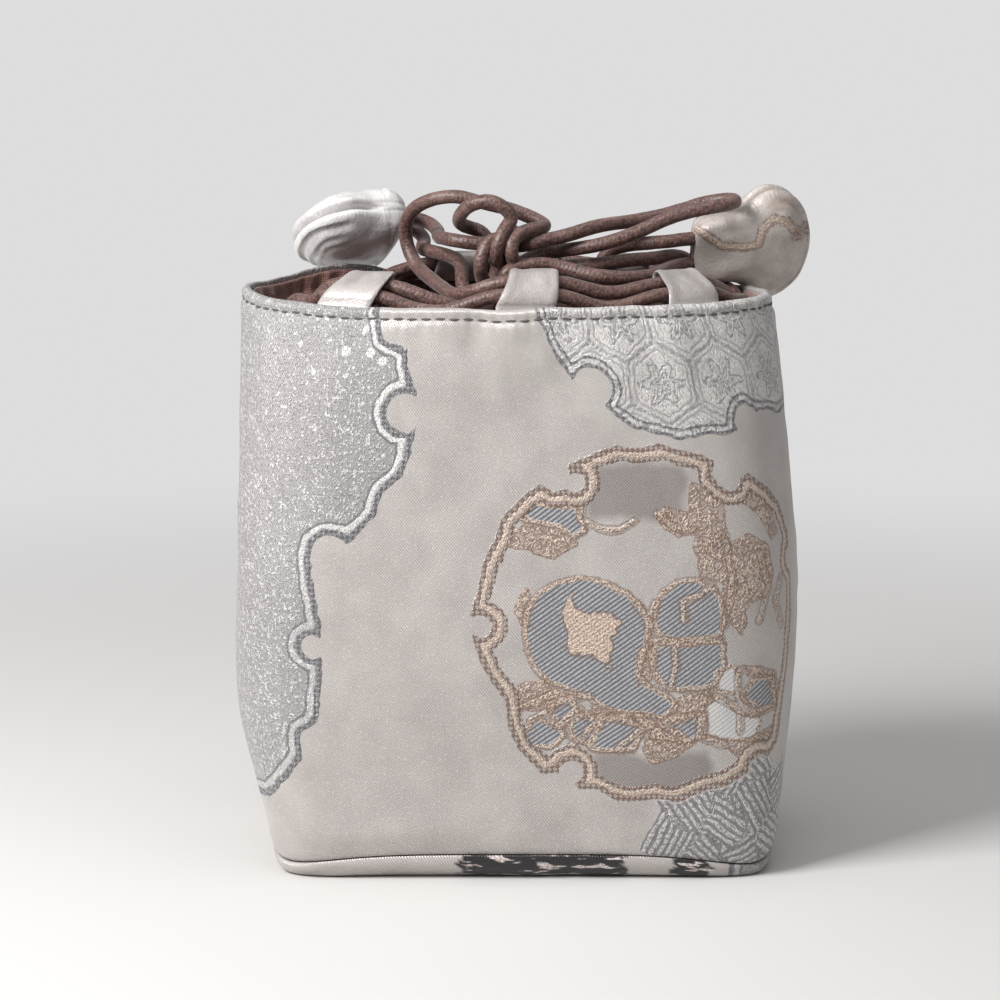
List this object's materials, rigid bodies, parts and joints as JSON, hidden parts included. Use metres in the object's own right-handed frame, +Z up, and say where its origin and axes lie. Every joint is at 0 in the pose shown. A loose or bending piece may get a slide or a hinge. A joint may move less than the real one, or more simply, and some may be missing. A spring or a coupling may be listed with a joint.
{
  "type": "drawstring pouch",
  "caption": "Small padded brocade pouch on a flat base, with loop tabs round its rim, drawcords tied in a bow over the open mouth, and folded-disc toggles on the cord ends.",
  "frame": {"origin": "under the middle of the base panel, on the surface that the pouch stands on", "axes": "+Z up through the mouth, +X to the right seen from the front, -Y towards the front"},
  "size_m": [0.1039, 0.062, 0.1197],
  "materials": {
    "brocade": "silver-beige satin brocade with woven pattern",
    "brocade_trim": "silver-white brocade",
    "cotton_lining": "matt brown cotton",
    "wadding": "matt fibre wadding",
    "waxed_cord": "waxed round cord, dark reddish brown"
  },
  "bodies": {
    "root": {"outer_front": "brocade", "outer_back": "brocade", "outer_base": "brocade", "lining_front": "cotton_lining", "lining_back": "cotton_lining", "lining_base": "cotton_lining", "wadding_front": "wadding", "wadding_back": "wadding", "wadding_base": "wadding", "tab_front_left": "brocade_trim", "tab_front_center": "brocade_trim", "tab_front_right": "brocade_trim", "tab_back_left": "brocade_trim", "tab_back_center": "brocade_trim", "tab_back_right": "brocade_trim", "toggle_left": "brocade_trim", "toggle_right": "brocade_trim", "knot": "waxed_cord", "cord_left_tie": "waxed_cord", "cord_left_bow": "waxed_cord", "cord_left_drawstring": "waxed_cord", "cord_right_tie": "waxed_cord", "cord_right_loop": "waxed_cord", "cord_right_drawstring": "waxed_cord"}
  },
  "joints": []
}
